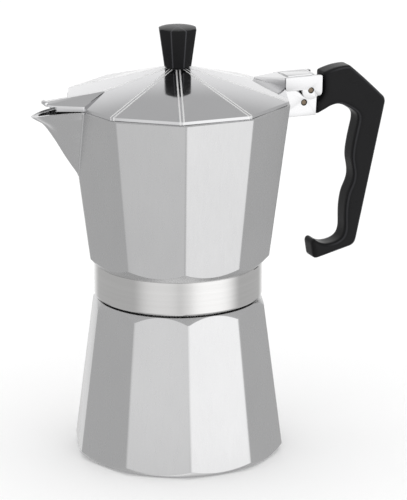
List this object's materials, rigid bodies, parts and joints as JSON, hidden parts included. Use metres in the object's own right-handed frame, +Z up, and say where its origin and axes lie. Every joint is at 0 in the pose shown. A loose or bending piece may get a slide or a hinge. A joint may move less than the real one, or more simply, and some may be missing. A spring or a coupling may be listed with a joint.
{
  "type": "moka pot",
  "caption": "Faceted aluminium stovetop coffee pot with a screw-on upper body, spout, hinged lid with a knob, a black side handle and a safety valve.",
  "frame": {"origin": "centre of the flat base that the pot stands on", "axes": "+Z up the pot's axis, +X towards the handle, -X towards the spout, the lid's hinge along Y, the safety valve on the +Y side"},
  "size_m": [0.1767, 0.1031, 0.2036],
  "materials": {
    "cast_aluminium": "satin polished casting with turned bands",
    "polished_aluminium": "mirror polished",
    "sheet_aluminium": "plain pressed sheet",
    "black_plastic": "semi-gloss moulded",
    "brass": "turned",
    "pin_steel": "plain, lightly tarnished",
    "seal_rubber": "matt moulded"
  },
  "bodies": {
    "lower_body": {"boiler": "cast_aluminium", "valve_body": "brass", "valve_washer": "seal_rubber", "valve_cap": "brass", "valve_spring": "pin_steel", "funnel": "sheet_aluminium", "funnel_sieve": "sheet_aluminium"},
    "valve_pin": {"valve_stem": "brass"},
    "seal": {"gasket": "seal_rubber", "filter_plate": "sheet_aluminium"},
    "upper_body": {"collector": "cast_aluminium", "column": "cast_aluminium", "handle": "black_plastic", "handle_pin": "pin_steel", "hinge_pin": "pin_steel"},
    "lid_body": {"lid": "polished_aluminium", "knob": "black_plastic", "knob_washer": "black_plastic", "knob_insert": "brass", "knob_screw": "pin_steel"}
  },
  "joints": [
    {"name": "thread_rise", "type": "slide", "parent": "lower_body", "child": "seal", "axis": [0, 0, 1], "range_m": [0, 0.0057]},
    {"name": "collector_turn", "type": "hinge", "parent": "seal", "child": "upper_body", "pos_m": [0, 0, 0.08], "axis": [0, 0, 1], "range_deg": [0, 630]},
    {"name": "lid_hinge", "type": "hinge", "parent": "upper_body", "child": "lid_body", "pos_m": [0.0646, 0, 0.169], "axis": [0, 1, 0], "range_deg": [0, 90]},
    {"name": "valve_lift", "type": "slide", "parent": "lower_body", "child": "valve_pin", "axis": [-0.0433, 0.9914, 0.1238], "range_m": [0, 0.002], "stiffness_N_per_m": 1500, "springref_m": -0.003, "deforming": ["valve_spring"]}
  ],
  "couplings": [
    {"joint": "thread_rise", "follows": "collector_turn", "m_per_rad": 0.0005093}
  ]
}
